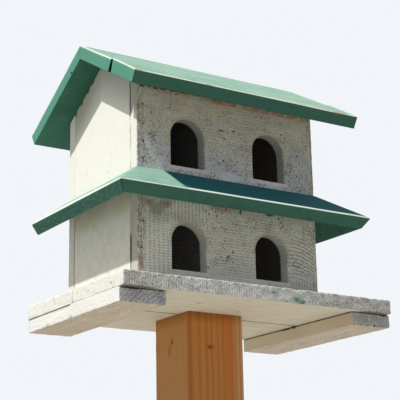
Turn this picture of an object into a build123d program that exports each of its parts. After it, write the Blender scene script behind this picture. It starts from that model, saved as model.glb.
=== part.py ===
# Purple martin birdhouse on its post: four rooms on two storeys, a pitched roof, a sloping
# skirt round the front and both sides between the storeys, and a platform of two boards.
# Millimetres, +Z up, front towards -Y. The origin is the centre of the post's foot, at ground level.
import os

from build123d import *
from math import cos, radians, sin, tan

os.makedirs("parts", exist_ok=True)

# Post: a nominal 4x4, a little full, with eased corners.
post_side = 92.0
post_height = 1829.0
post_corner_radius = 4.0

# Platform: two boards side by side on the post's top, tied by a cleat under each end.
platform_length = 438.0
platform_board_width = 139.7
platform_thickness = 20.0
platform_seam = 1.0
platform_shift_right = 8.0
platform_shift_back = -16.7
platform_edge_radius = 1.5
cleat_width = 69.0
cleat_thickness = 20.0
cleat_setback_front = 7.5
cleat_left_setback_back = 7.0
cleat_right_setback_back = 1.5
cleat_proud_left = 1.5
cleat_proud_right = 3.5
cleat_edge_radius = 1.2
cleat_round_radius = 4.5

# House: front and back walls of two boards, one above the other, over board-wide gable ends.
house_width = 299.0
house_depth = 201.0
house_shift_right = -11.0
house_shift_back = -4.0
wall_thickness = 17.0
lower_board_width = 139.7
wall_height = 281.3
wall_corner_radius = 1.5
gable_thickness = 18.0
floor_thickness = 17.0
floor_top = 146.0
partition_thickness = 12.0

# Entrances: two a storey, flat sill and round arch, the lower ones a little shorter.
entrance_width = 54.0
lower_entrance_height = 65.5
upper_entrance_height = 69.0
entrance_spacing = 137.0
sill_above_floor = 22.0

# Roof: one board behind the ridge and two before it, at one pitch.
roof_pitch = 30.0
roof_board_width = 182.5
roof_thickness = 19.0
roof_shift_front = 2.2
roof_past_left = 37.0
roof_past_right = 41.0
roof_seam = 3.0
roof_upper_board_width = 108.0
roof_arris_radius = 2.5

# Skirt: three boards mitred at the front corners, with square ends just past the back wall.
skirt_top = 157.0
skirt_overhang = 57.3
skirt_pitch = 35.0
skirt_thickness = 19.0
skirt_past_back = 6.5
skirt_arris_radius = 2.5

# Levels
platform_under = post_height
platform_top = platform_under + platform_thickness
wall_foot = platform_top
upper_floor = platform_top + floor_top
wall_seam = wall_foot + lower_board_width

# Plan of the platform
platform_left = platform_shift_right - platform_length / 2
platform_right = platform_shift_right + platform_length / 2
platform_depth = 2 * platform_board_width + platform_seam
platform_front = platform_shift_back - platform_depth / 2
platform_back = platform_shift_back + platform_depth / 2

# Plan of the house
house_left = house_shift_right - house_width / 2
house_right = house_shift_right + house_width / 2
house_front = house_shift_back - house_depth / 2
house_back = house_shift_back + house_depth / 2
room_left = house_left + gable_thickness
room_right = house_right - gable_thickness
room_front = house_front + wall_thickness
room_back = house_back - wall_thickness

# Roof lines, seen from the side
roof_plumb = roof_thickness / cos(radians(roof_pitch))
ridge_y = house_shift_back - roof_shift_front
ridge_under = wall_foot + wall_height + (ridge_y - house_front) * tan(radians(roof_pitch))


def roof_under(y):
    """Height of the roof's underside at a distance y from front to back."""
    return ridge_under - abs(y - ridge_y) * tan(radians(roof_pitch))


def prism_along_x(outline, x_from, x_to):
    """Solid with an outline of (y, z) points, from x_from to x_to."""
    section = Plane.YZ.offset(x_from) * Polygon(*outline, align=None)
    return extrude(section, x_to - x_from, dir=(1, 0, 0))


def block(x, y, z):
    """Box between two corners, each axis given as (lowest, highest)."""
    size = [high - low for low, high in (x, y, z)]
    return Pos(*[(low + high) / 2 for low, high in (x, y, z)]) * Box(*size)


def post():
    """Square post with its four long corners eased."""
    shaft = block(
        (-post_side / 2, post_side / 2), (-post_side / 2, post_side / 2), (0, post_height)
    )
    return fillet(shaft.edges().filter_by(Axis.Z), post_corner_radius)


def platform_board(y_from):
    """One platform board, its long edges and ends worn round."""
    board = block(
        (platform_left, platform_right),
        (y_from, y_from + platform_board_width),
        (platform_under, platform_top),
    )
    return fillet(board.edges(), platform_edge_radius)


def cleat(x_from, setback_back):
    """Cleat across both boards, planed round along its right side and only eased along its left."""
    bar = block(
        (x_from, x_from + cleat_width),
        (platform_front + cleat_setback_front, platform_back - setback_back),
        (platform_under - cleat_thickness, platform_under),
    )
    round_side = bar.edges().filter_by(Axis.Y).group_by(Axis.X)[-1]
    bar = fillet(round_side, cleat_round_radius)
    eased_side = bar.edges().filter_by(Axis.Y).group_by(Axis.X)[0]
    return fillet(eased_side, cleat_edge_radius)


def entrance(x_middle, sill, height):
    """Cutter for one entrance, run past both faces of the front wall."""
    radius = entrance_width / 2
    straight = height - radius
    opening = Pos(x_middle, sill + straight / 2) * Rectangle(entrance_width, straight)
    opening += Pos(x_middle, sill + straight) * Circle(radius)
    behind = Plane.XZ.offset(-room_front - wall_thickness)
    return extrude(behind * opening, 3 * wall_thickness, dir=(0, -1, 0))


def wall_board(y_from, foot, top):
    """Wall board between two levels; top None bevels it to the roof's underside."""
    y_to = y_from + wall_thickness
    outline = [
        (y_from, foot),
        (y_to, foot),
        (y_to, roof_under(y_to) if top is None else top),
        (y_from, roof_under(y_from) if top is None else top),
    ]
    board = prism_along_x(outline, house_left, house_right)
    outer_y = y_from if y_from == house_front else y_to
    corners = board.edges().filter_by(Axis.Z).filter_by_position(Axis.Y, outer_y, outer_y)
    return fillet(corners, wall_corner_radius)


def front_wall_board(foot, top, sill, height):
    """Front wall board with its storey's two entrances cut through it."""
    board = wall_board(house_front, foot, top)
    for side in (-1, 1):
        board -= entrance(house_shift_right + side * entrance_spacing / 2, sill, height)
    return board


def upright(x_from, x_to, foot):
    """Panel across the house from front to back wall, from a level up to the roof."""
    outline = [
        (room_front, foot),
        (room_back, foot),
        (room_back, roof_under(room_back)),
        (ridge_y, ridge_under),
        (room_front, roof_under(room_front)),
    ]
    return prism_along_x(outline, x_from, x_to)


def partition_sides():
    half = partition_thickness / 2
    return house_shift_right - half, house_shift_right + half


def middle_floor():
    """Floor of the upper rooms, inside the four walls."""
    return block(
        (room_left, room_right),
        (room_front, room_back),
        (upper_floor - floor_thickness, upper_floor),
    )


def partition_lower():
    """Divider between the two lower rooms."""
    return block(
        partition_sides(), (room_front, room_back), (platform_top, upper_floor - floor_thickness)
    )


def roof_board(side, start, width):
    """Roof board on one slope: side -1 is the front. It starts that far down from the ridge."""
    pitch = radians(roof_pitch)

    def at(down, depth):
        y = ridge_y + side * (down * cos(pitch) - depth * sin(pitch))
        z = ridge_under + roof_plumb - down * sin(pitch) - depth * cos(pitch)
        return y, z

    if start == 0:
        upper_end = [(ridge_y, ridge_under), (ridge_y, ridge_under + roof_plumb)]
    else:
        upper_end = [at(start, roof_thickness), at(start, 0)]
    outline = upper_end + [at(start + width, 0), at(start + width, roof_thickness)]
    board = prism_along_x(outline, house_left - roof_past_left, house_right + roof_past_right)
    eave = board.edges().filter_by(Axis.X).sort_by(Axis.Z)[1]
    return fillet(eave, roof_arris_radius)


def skirt_outline():
    """Skirt board's section as (distance out from the wall, height): plumb cut on the wall,
    outer edge square to the slope, both outer arrises rounded."""
    pitch = radians(skirt_pitch)
    top = platform_top + skirt_top
    drop = skirt_overhang * tan(pitch)
    back_in = skirt_thickness * sin(pitch)
    down = skirt_thickness * cos(pitch)
    return [
        (0, top - skirt_thickness / cos(pitch)),
        (skirt_overhang - back_in, top - drop - down),
        (skirt_overhang, top - drop),
        (0, top),
    ]


def skirt_board(outward, wall_point, plan):
    """Skirt board on the wall that faces outward: its section runs past both ends of the wall
    and is trimmed to the board's plan."""
    along = Vector(*outward).cross(Vector(0, 0, 1))
    plane = Plane(origin=(*wall_point, 0), x_dir=outward, z_dir=along)
    section = Polygon(*skirt_outline(), align=None)
    section = fillet(section.vertices().sort_by(Axis.X)[-2:], skirt_arris_radius)
    long_board = extrude(plane * section, house_width + 2 * skirt_overhang, both=True)
    footprint = Pos(0, 0, platform_top) * Polygon(*plan, align=None)
    trim = extrude(footprint, skirt_top, dir=(0, 0, 1))
    return long_board & trim


def skirt_front():
    """Front skirt board, mitred at both ends."""
    reach = skirt_overhang
    plan = [
        (house_left, house_front),
        (house_left - reach, house_front - reach),
        (house_right + reach, house_front - reach),
        (house_right, house_front),
    ]
    return skirt_board((0, -1, 0), (house_shift_right, house_front), plan)


def skirt_side(side):
    """Side skirt board, mitred in front and square behind: side -1 is the left."""
    reach = skirt_overhang
    wall = house_left if side < 0 else house_right
    end = house_back + skirt_past_back
    plan = [
        (wall, house_front),
        (wall + side * reach, house_front - reach),
        (wall + side * reach, end),
        (wall, end),
    ]
    return skirt_board((side, 0, 0), (wall, house_shift_back), plan)


lower_sill = platform_top + sill_above_floor
upper_sill = upper_floor + sill_above_floor
pieces = {
    "post": post(),
    "platform_board_front": platform_board(platform_front),
    "platform_board_back": platform_board(platform_back - platform_board_width),
    "cleat_left": cleat(platform_left - cleat_proud_left, cleat_left_setback_back),
    "cleat_right": cleat(
        platform_right + cleat_proud_right - cleat_width, cleat_right_setback_back
    ),
    "wall_front_lower": front_wall_board(wall_foot, wall_seam, lower_sill, lower_entrance_height),
    "wall_front_upper": front_wall_board(wall_seam, None, upper_sill, upper_entrance_height),
    "wall_back_lower": wall_board(room_back, wall_foot, wall_seam),
    "wall_back_upper": wall_board(room_back, wall_seam, None),
    "gable_end_left": upright(house_left, room_left, wall_foot),
    "gable_end_right": upright(room_right, house_right, wall_foot),
    "middle_floor": middle_floor(),
    "partition_lower": partition_lower(),
    "partition_upper": upright(*partition_sides(), upper_floor),
    "skirt_front": skirt_front(),
    "skirt_left": skirt_side(-1),
    "skirt_right": skirt_side(1),
    "roof_back": roof_board(1, 0, roof_board_width),
    "roof_front_upper": roof_board(-1, 0, roof_upper_board_width),
    "roof_front_lower": roof_board(
        -1,
        roof_upper_board_width + roof_seam,
        roof_board_width - roof_upper_board_width - roof_seam,
    ),
}

for name, piece in pieces.items():
    export_step(piece, f"parts/{name}.step")
    print(f"{name}: {piece.volume / 1e6:.3f} litres")
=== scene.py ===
# Purple martin birdhouse: weathered boards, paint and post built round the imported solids.
# Lengths in the dictionaries are in metres, written as so many mm. Front towards -Y, +Z up.
import bpy
import functools
import math
import numpy as np
from mathutils import Matrix, Vector


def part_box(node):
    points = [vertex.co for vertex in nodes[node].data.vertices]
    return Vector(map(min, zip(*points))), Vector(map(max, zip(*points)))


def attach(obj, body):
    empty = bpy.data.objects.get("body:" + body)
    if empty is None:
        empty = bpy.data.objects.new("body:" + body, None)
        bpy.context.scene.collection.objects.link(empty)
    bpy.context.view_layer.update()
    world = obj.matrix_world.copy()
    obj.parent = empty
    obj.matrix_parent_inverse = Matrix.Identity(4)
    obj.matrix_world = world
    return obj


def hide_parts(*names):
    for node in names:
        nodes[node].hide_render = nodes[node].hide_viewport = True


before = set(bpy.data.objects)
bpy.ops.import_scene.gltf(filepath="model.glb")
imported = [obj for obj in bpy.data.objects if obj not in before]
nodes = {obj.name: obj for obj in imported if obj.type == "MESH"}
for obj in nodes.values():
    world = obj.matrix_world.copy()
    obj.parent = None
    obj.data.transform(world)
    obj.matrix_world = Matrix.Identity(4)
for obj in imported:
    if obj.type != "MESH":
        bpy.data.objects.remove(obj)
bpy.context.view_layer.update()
mm = 0.001
print("frame loaded:", len(nodes), "pieces")


# Surfaces worked out as whole arrays

def rule(stops, steps, nearLow=(), nearHigh=()):
    # Places across a board: even steps between the stops, and close lines beside both ends
    parts = [np.linspace(low, high, max(1, round((high - low) / step)) + 1)
             for low, high, step in zip(stops[:-1], stops[1:], steps)]
    parts += [stops[0] + np.array(nearLow), stops[-1] - np.array(nearHigh)]
    places = np.sort(np.concatenate(parts))
    closest = 0.12 * mm
    return places[np.append(np.diff(places) > closest, True)]


def bendLines(*radii):
    # Lines at 15, 30 and 45 degrees of a rounded edge, seen from the flat side
    return np.concatenate([radius * np.tan(np.radians([15, 30, 45])) for radius in radii])


def shellOf(lines):
    # Six sides of a three-way lattice: each point takes one place from each of the three rulers
    counts = [len(line) for line in lines]
    index = np.indices(counts)
    outer = np.zeros(counts, bool)
    for axis in range(3):
        outer |= (index[axis] == 0) | (index[axis] == counts[axis] - 1)
    number = np.full(counts, -1)
    number[outer] = np.arange(outer.sum())
    points = np.stack([lines[axis][index[axis][outer]] for axis in range(3)], axis=1)
    quads = []
    for axis in range(3):
        for last in (0, counts[axis] - 1):
            side = np.take(number, last, axis=axis)
            corners = [side[:-1, :-1], side[1:, :-1], side[1:, 1:], side[:-1, 1:]]
            outward = (last > 0) != (axis == 1)
            quads.append(np.stack([c.ravel() for c in corners[::1 if outward else -1]], axis=1))
    return points, np.concatenate(quads)


def easeBoard(points, size, radii, endRadius):
    # A board's section: in each corner square of side r the point (x, y) goes to
    # (x, y) * max(x, y) / hypot(x, y), which turns the square's outer sides into an arc.
    # Its ends: the last endRadius of the length and of the cap is bent over a quarter circle.
    half = size[1:] / 2
    offset = points[:, 1:] - half
    upper = (offset > 0).astype(int)
    radius = radii[upper[:, 0], upper[:, 1]][:, None]
    beyond = np.abs(offset) - (half - radius)
    corner = (beyond > 0).all(axis=1)[:, None]
    reach = np.maximum(np.hypot(beyond[:, :1], beyond[:, 1:]), 1e-9)
    squeezed = half - radius + beyond * beyond.max(axis=1)[:, None] / reach
    moved = np.where(corner, squeezed, np.abs(offset))
    beyond = moved - (half - radius)
    reach = np.maximum(np.hypot(beyond[:, :1], beyond[:, 1:]), 1e-9)
    depths = half - moved
    nearest = np.eye(2)[depths.argmin(axis=1)]
    inside = np.where(corner, radius - reach, depths.min(axis=1)[:, None])[:, 0]
    normal = np.where(corner, beyond / reach, nearest)
    toEnd = np.minimum(points[:, 0], size[0] - points[:, 0])
    onCap = toEnd < 1e-9
    turn = np.where(onCap, 1 + inside / endRadius, 1 - toEnd / endRadius) * math.pi / 4
    bent = np.where(onCap, inside, toEnd) < endRadius
    rim = moved + normal * (inside - endRadius * (1 - np.cos(turn)))[:, None]
    section = np.where(bent[:, None], rim, moved) * np.sign(offset) + half
    back = np.where(bent, endRadius * (1 - np.sin(turn)), toEnd)
    length = np.where(points[:, 0] < size[0] / 2, back, size[0] - back)
    return np.column_stack([length, section])


def edgeDistances(points, size, hidden):
    # Distance along a face to the board's nearest edge: the second smallest way to a side. Sides
    # that meet a neighbour, (axis, 0 low or 1 high), are hidden and count as a metre away.
    ways = []
    for axis in range(3):
        toLow = 1.0 if (axis, 0) in hidden else points[:, axis]
        toHigh = 1.0 if (axis, 1) in hidden else size[axis] - points[:, axis]
        ways.append(np.minimum(toLow, toHigh) + np.zeros(len(points)))
    return np.sort(ways, axis=0)[1]


def vertexNormals(points, quads):
    # Sum of the crossed diagonals of the quads round each point, made one long
    a, b, c, d = (points[quads[:, k]] for k in range(4))
    cross = np.cross(c - a, d - b)
    total = [np.bincount(quads.ravel(), np.repeat(part, 4), len(points)) for part in cross.T]
    return (total / np.maximum(np.linalg.norm(total, axis=0), 1e-12)).T


def facedOut(points, quads):
    # Turns the quads round where the closed surface would hold a negative volume
    a, b, c, d = (points[quads[:, k]] for k in range(4))
    volume = (np.cross(b - a, c - a) * a).sum() + (np.cross(c - a, d - a) * a).sum()
    return quads if volume > 0 else quads[:, ::-1]


def cellNoise(points, cell, seed):
    # Smooth noise from 0 to 1: a hashed value at each corner of a cell, blended by 3t^2 - 2t^3
    scaled = points / cell
    base = np.floor(scaled).astype(np.int64)
    part = scaled - base
    part = part * part * (3 - 2 * part)
    primes, seedPrime, mixPrime = np.array([73856093, 19349663, 83492791]), 2654435761, 1274126177
    total = np.zeros(len(points))
    for corner in np.ndindex(2, 2, 2):
        mixed = np.bitwise_xor.reduce((base + np.array(corner)) * primes, axis=1) ^ seed * seedPrime
        mixed = ((mixed ^ (mixed >> 13)) * mixPrime) & 0x7fffffff
        value = ((mixed ^ (mixed >> 15)) & 0xffff) / 0xffff
        total += value * np.prod(np.where(corner, part, 1 - part), axis=1)
    return total


def worn(points, quads, look, strength=1.0):
    # Each point sinks along its normal by the sum of depth * (noise - lift) over the layers, each
    # (cell, depth), and by depth * exp(-(distance / reach)^2) round each dent, all in millimetres
    normals = vertexNormals(points, quads)
    lift = look.get("lift", 0.0)
    sink = np.zeros(len(points))
    for k, (cell, depth) in enumerate(look["layers"]):
        sink += depth * mm * (cellNoise(points, np.array(cell) * mm, look["seed"] + k) - lift)
    sink = sink * strength
    for x, y, z, reach, depth in look.get("dents", ()):
        away = np.linalg.norm(points / mm - (x, y, z), axis=1) / reach
        sink = sink + depth * mm * np.exp(-away * away)
    return points - normals * sink[:, None]


def makePiece(name, points, quads, values, material):
    # Puts the arrays into a mesh that stands for the CAD node of the same name
    mesh = bpy.data.meshes.new(name)
    mesh.from_pydata(points.tolist(), [], facedOut(points, quads).tolist())
    mesh.shade_smooth()
    for key, numbers in values.items():
        mesh.attributes.new(key, "FLOAT", "POINT").data.foreach_set("value", numbers.astype(np.float32))
    mesh.materials.append(material)
    mesh.update()
    piece = bpy.data.objects.new(name + "_worn", mesh)
    bpy.context.scene.collection.objects.link(piece)
    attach(piece, "root")
    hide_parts(name)
    print("made", piece.name, len(quads) * 2, "triangles")


def makeBoard(name, size, lines, radii, endRadius, place, look, material, innerAt=(0, -1),
              hidden={}):
    # A board from a rounded box (length, width, thickness), carried into place by place(a, b, c).
    # radii are those of the four long edges, or one for all. innerAt is the plane of its inner face,
    # (axis, place). hidden maps the sides against a neighbour, (axis, 0 low or 1 high), to how much
    # painted shade the joint and the faces beside it get.
    size = np.array(size)
    lattice, quads = shellOf(lines)
    eased = easeBoard(lattice, size, np.broadcast_to(radii, (2, 2)), endRadius)
    points = np.stack(place(*eased.T), axis=1)
    quads = facedOut(points, quads)
    edge = edgeDistances(lattice, size, hidden)
    chips = 1 + look["chipping"] * np.exp(-edge / look["chipReach"])
    points = worn(points, quads, look, chips)
    toEnd = np.minimum(lattice[:, 0], size[0] - lattice[:, 0])
    crevice = np.zeros(len(points))
    gapReach, gapDepth = look.get("gapReach", 0.1 * mm), look.get("gapDepth", 1e-9)
    for (axis, high), dark in hidden.items():
        # Painted shade in the joint: full at the joint, gone at gapReach from it
        away = np.abs(lattice[:, axis] - high * size[axis])
        crevice = np.maximum(crevice, dark * np.clip(1.6 * (1 - away / gapReach), 0, 1))
    crevice *= np.clip(lattice[:, 2] / gapDepth - 0.3, 0, 1)
    inner = np.abs(points[:, innerAt[0]] - innerAt[1]) < 0.5 * mm
    values = {"edgeDistance": edge, "endGrain": toEnd < 1e-9, "crevice": crevice, "innerFace": inner}
    makePiece(name, points, quads, values, material)


# Sizes read from the frame

def span(node, axis):
    low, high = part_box(node)
    return low[axis], high[axis]


houseLeft, houseRight = span("wall_front_lower", 0)
houseFront = span("wall_front_lower", 1)[0]
platformUnder, platformTop = span("platform_board_front", 2)
houseMiddle = (houseLeft + houseRight) / 2
seamY = (span("platform_board_front", 1)[1] + span("platform_board_back", 1)[0]) / 2

roof = {"pitch": math.radians(30), "thickness": 19 * mm, "boardWidth": 182.5 * mm, "upperWidth": 108 * mm,
        "seam": 3 * mm}
roofSlope = math.tan(roof["pitch"])
ridgeY = span("roof_front_upper", 1)[1]
ridgeTop = span("roof_back", 2)[1]
ridgeUnder = ridgeTop - roof["thickness"] / math.cos(roof["pitch"])


def boxOf(node, *order):
    # A node's lowest and highest corner, and its length, width and thickness by the order of the axes
    low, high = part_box(node)
    return low, high, [high[axis] - low[axis] for axis in order]


def roofUnder(y):
    # Height of the roof's underside: it falls from the ridge by the pitch on both sides
    return ridgeUnder - np.abs(y - ridgeY) * roofSlope


entrance = {"half": 27 * mm, "height": {"lower": 65.5 * mm, "upper": 69 * mm}, "spacing": 137 * mm,
            "sillAboveFloor": 22 * mm, "arris": 1.3 * mm}
floors = {"lower": platformTop, "upper": span("middle_floor", 2)[1]}
sills = {storey: floor + entrance["sillAboveFloor"] for storey, floor in floors.items()}


# Shader helpers

class Wire:
    # A node's output. Reckoning with it, as in wire * 0.5 + other, puts in Math nodes.
    def __init__(self, socket):
        self.socket = socket
        self.tree = socket.id_data

    def __add__(self, other):
        return calc("ADD", self, other)

    def __sub__(self, other):
        return calc("SUBTRACT", self, other)

    def __rsub__(self, other):
        return calc("SUBTRACT", other, self)

    def __mul__(self, other):
        return calc("MULTIPLY", self, other)

    def __truediv__(self, other):
        return calc("DIVIDE", self, other)

    __rmul__ = __mul__


def feed(target, value):
    # Links a wire to a node's input, or sets a plain value there
    if isinstance(value, Wire):
        value.tree.links.new(value.socket, target)
    else:
        target.default_value = value


def addNode(kind, inputs, tree=None, **settings):
    # Goes into the tree that its first wire comes from, where no tree is given
    if tree is None:
        tree = next(value.tree for value in inputs.values() if isinstance(value, Wire))
    made = tree.nodes.new("ShaderNode" + kind)
    for key, value in settings.items():
        setattr(made, key, value)
    for key, value in inputs.items():
        feed(made.inputs[key], value)
    return {key: Wire(socket) for key, socket in [*enumerate(made.outputs), *made.outputs.items()]}


def calc(operation, *values):
    return addNode("Math", dict(enumerate(values)), operation=operation)[0]


def most(*values):
    # The highest of the values at each place
    return functools.reduce(lambda first, second: calc("MAXIMUM", first, second), values)


def vectorCalc(operation, *values, result="Vector"):
    return addNode("VectorMath", dict(enumerate(values)), operation=operation)[result]


def lengthOf(vector):
    return vectorCalc("LENGTH", vector, result="Value")


def split(vector):
    made = addNode("SeparateXYZ", {0: vector})
    return made[0], made[1], made[2]


def joined(x, y, z):
    return addNode("CombineXYZ", {0: x, 1: y, 2: z})[0]


def ease(value, low, high, start=0.0, end=1.0):
    # Smooth step from start to end, while the value goes from low to high
    inputs = {"Value": value, "From Min": low, "From Max": high, "To Min": start, "To Max": end}
    return addNode("MapRange", inputs, interpolation_type="SMOOTHSTEP")["Result"]


def fade(value, low, high):
    # The smooth step downwards, from 1 to 0
    return ease(value, low, high, 1.0, 0.0)


def tint(factor, first, second):
    # The first colour where the factor is 0, the second where it is 1
    first, second = ((*end, 1) if isinstance(end, tuple) else end for end in (first, second))
    return addNode("Mix", {0: factor, 6: first, 7: second}, data_type="RGBA")[2]


def layered(look, colour, *coats):
    # Each coat is its amounts, which are multiplied, and then its colour. All may be names in look.
    colour = look.get(colour, colour)
    for coat in coats:
        first, *amounts, coat = [look.get(value, value) for value in coat]
        colour = tint(math.prod(amounts, start=first), colour, coat)
    return colour


def mapped(vector, shift=(0, 0, 0), turn=(0, 0, 0), scale=(1, 1, 1)):
    inputs = {"Vector": vector, "Location": shift, "Rotation": turn, "Scale": scale}
    return addNode("Mapping", inputs)["Vector"]


def noise(vector, size, detail=2.0, rough=0.5, **mapping):
    # Noise whose features are about size millimetres, drawn out or moved by the mapping
    place = mapped(vector, **mapping) if mapping else vector
    inputs = {"Vector": place, "Scale": 1 / size, "Detail": detail, "Roughness": rough}
    return addNode("TexNoise", inputs)[0]


def attribute(place, name):
    return addNode("Attribute", {}, place.tree, attribute_name=name)["Fac"]


def makeGroup(name, inputs, outputs, build):
    # inputs are {name: default}, outputs are names; build(given) returns {output: wire}. Returns a
    # function that puts the group into a tree.
    group = bpy.data.node_groups.new(name, "ShaderNodeTree")
    for key, default in inputs.items():
        kind = "NodeSocketVector" if isinstance(default, tuple) else "NodeSocketFloat"
        group.interface.new_socket(key, in_out="INPUT", socket_type=kind).default_value = default
    for key in outputs:
        group.interface.new_socket(key, in_out="OUTPUT", socket_type="NodeSocketFloat")
    given = {key: Wire(socket) for key, socket in group.nodes.new("NodeGroupInput").outputs.items()}
    taken = group.nodes.new("NodeGroupOutput")
    for key, wire in build(given).items():
        feed(taken.inputs[key], wire)

    def use(place=None, tree=None, **inputs):
        # Puts the group in: place goes to Vector, and each other input to the socket of its name
        named = {key.capitalize(): value for key, value in inputs.items()}
        if place is not None:
            named["Vector"] = place
        return addNode("Group", named, tree, node_tree=group)

    return use


# Node groups that several finishes share

def buildFacing(given):
    # Along: cosine between the face and Way. Toward: 1 where it faces Way. Either: 1 there, and where
    # it faces straight against it.
    normal = addNode("NewGeometry", {}, given["Way"].tree)["Normal"]
    along = vectorCalc("DOT_PRODUCT", normal, given["Way"], result="Value")
    either = ease(calc("ABSOLUTE", along), 0.45, 0.7)
    return {"Along": along, "Toward": ease(along, 0.45, 0.7), "Either": either}


def buildGrain(given):
    # Paint over wood: long streaks with finer ones among them, length along X
    place = given["Vector"]
    wide = noise(place, 4, 3, 0.6, scale=(0.05, 1, 1))
    thin = noise(place, 1.1, 2, 0.6, shift=(9, 4, 2), scale=(0.03, 1, 1))
    both = thin * 0.45 + wide * 0.55
    return {"Streaks": ease(both, 0.36, 0.64), "Height": both}


def buildRings(given):
    # Growth rings: distance from the pith, bent by slow noise, repeated every Spacing millimetres
    place = given["Vector"]
    slow = noise(place, 6, 2, 0.5, scale=(0.012, 0.25, 0.25))
    x, y, z = split(vectorCalc("SUBTRACT", place, given["Pith"]))
    turns = (lengthOf(joined(0, y, z)) + (slow - 0.5) * given["Wobble"]) / given["Spacing"]
    phase = calc("FRACT", turns)
    late = ease(phase, 0.25, 0.8) * fade(phase, 0.86, 1)
    year = noise(joined(0, calc("FLOOR", turns), 0.5), 0.37, 0)
    fibre = noise(place, 0.6, 3, 0.65, scale=(0.02, 1, 1))
    return {"Rings": late * ease(year, 0.3, 0.7, 0.45, 1), "Fibre": fibre}


def buildSpecks(given):
    # Sawn fibres that break through thin paint: dark and pale specks of about Size millimetres
    # each way, gathered into loose clusters by a noise nine times as large
    place = vectorCalc("DIVIDE", given["Vector"], given["Size"])
    level = (noise(place, 9) - 0.5) * given["Gather"] + noise(place, 1, 2, 0.65)
    return {"Dark": ease(level, 0.52, 0.61), "Pale": fade(level, 0.38, 0.47), "Height": level}


def buildSaw(given):
    # Blade marks: rows Spacing apart up Z, each falling by Bend * X^2, broken into dashes by noise
    place = given["Vector"]
    x, y, z = split(place)
    bent = x * x * given["Bend"] + z + noise(place, 15, 1) * 1.8
    phase = calc("FRACT", bent / given["Spacing"])
    line = ease(phase, 0, 0.25) * fade(phase, 0.35, 0.6)
    ridge = ease(phase, 0.55, 0.75) * fade(phase, 0.8, 1)
    dashes = ease(noise(place, 1.8, 2, 0.6, scale=(0.5, 1, 1)), 0.38, 0.54)
    return {"Marks": line * dashes, "Ridges": ridge * dashes}


def buildSpot(given):
    # A soft uneven spot: distance from its centre over its size, less some noise
    place = given["Vector"]
    over = vectorCalc("DIVIDE", vectorCalc("SUBTRACT", place, given["Centre"]), given["Size"])
    ragged = (noise(place, 3, 3, 0.6) - 0.5) * given["Ragged"]
    return {"Mask": fade(lengthOf(over) + ragged, 0.55, 1.05)}


def buildEdge(given):
    # Worn edge: near an edge by the piece's own attribute, broken up by noise
    place = given["Vector"]
    near = attribute(place, "edgeDistance") / (given["Width"] * mm)
    rough = (noise(place, 5, 4, 0.65) - 0.5) * 1.6
    return {"Wear": fade(near + rough, 0.5, 1.3)}


def buildEntranceMarks(given):
    # Rim: algae in a ragged band round the arch, by the distance from the opening's outline.
    # Ledge: the strip under the sill. Both entrances of a storey are folded onto one.
    place = given["Vector"]
    x, y, z = split(place)
    across = calc("ABSOLUTE", calc("ABSOLUTE", x - houseMiddle / mm) - entrance["spacing"] / 2 / mm)
    outside = lengthOf(joined(across, 0, most(z - given["Spring"], 0))) - entrance["half"] / mm
    wide = outside * ease(noise(place, 8, 3, 0.6), 0.3, 0.7, 0.7, 2)
    overSill = z - given["Sill"]
    strip = ease(overSill, -6.5, -5) * fade(overSill, -1, 0) * fade(across, 31, 35)
    return {"Rim": fade(wide, 3, 8) * ease(overSill, 20, 40), "Ledge": strip}


vectorIn = {"Vector": (0, 0, 0)}
facingWay = makeGroup("facing", {"Way": (0, 0, 1)}, ("Along", "Toward", "Either"), buildFacing)
paintGrain = makeGroup("paintGrain", vectorIn, ("Streaks", "Height"), buildGrain)
ringIn = vectorIn | {"Pith": (0, 60, 60), "Spacing": 3, "Wobble": 6}
growthRings = makeGroup("growthRings", ringIn, ("Rings", "Fibre"), buildRings)
sawnSpecks = makeGroup(
    "sawnSpecks", vectorIn | {"Size": (3, 3, 2), "Gather": 0.3}, ("Dark", "Pale", "Height"), buildSpecks)
sawMarks = makeGroup("sawMarks", vectorIn | {"Spacing": 3, "Bend": 0}, ("Marks", "Ridges"), buildSaw)
softSpot = makeGroup(
    "softSpot", vectorIn | {"Centre": (0, 0, 0), "Size": (5, 5, 5), "Ragged": 0.8}, ("Mask",), buildSpot)
edgeWear = makeGroup("edgeWear", vectorIn | {"Width": 2}, ("Wear",), buildEdge)
entranceMarks = makeGroup(
    "entranceMarks", vectorIn | {"Spring": 0, "Sill": 0}, ("Rim", "Ledge"), buildEntranceMarks)
print("node groups ready")


# Finishes. Places are in millimetres; heights are from the platform's underside.

alongX = (0, 0, 0)
alongY = (0, 0, math.pi / 2)
alongZ = (0, math.pi / 2, 0)


def startMaterial(name, turn=alongX):
    # Returns the material, the place on the object, paint grain along a board, and x, y and z
    material = bpy.data.materials.new(name)
    material.use_nodes = True
    place = addNode("TexCoord", {}, material.node_tree)["Object"]
    place = mapped(place, shift=(0, 0, -platformUnder / mm), scale=(1 / mm, 1 / mm, 1 / mm))
    return material, place, paintGrain(mapped(place, turn=turn)), *split(place)


def facing(place, *way, result="Toward"):
    return facingWay(tree=place.tree, way=way)[result]


def spots(place, marks, ragged=0.8):
    # The strongest of several soft spots, each given as (x, y, z, reach in x, y and z)
    return most(*[softSpot(place, centre=mark[:3], size=mark[3:], ragged=ragged)["Mask"]
                  for mark in marks])


def finishSurface(material, colour, rough, gloss, height, depth):
    # gloss is the shader's specular level; depth is the relief in millimetres from height 0 to 1
    relief = addNode("Bump", {"Height": height, "Distance": depth * mm, "Strength": 1})["Normal"]
    inputs = {"Base Color": colour, "Roughness": rough, "Specular IOR Level": gloss, "Normal": relief}
    for key, value in inputs.items():
        feed(material.node_tree.nodes["Principled BSDF"].inputs[key], value)
    return material


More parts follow.
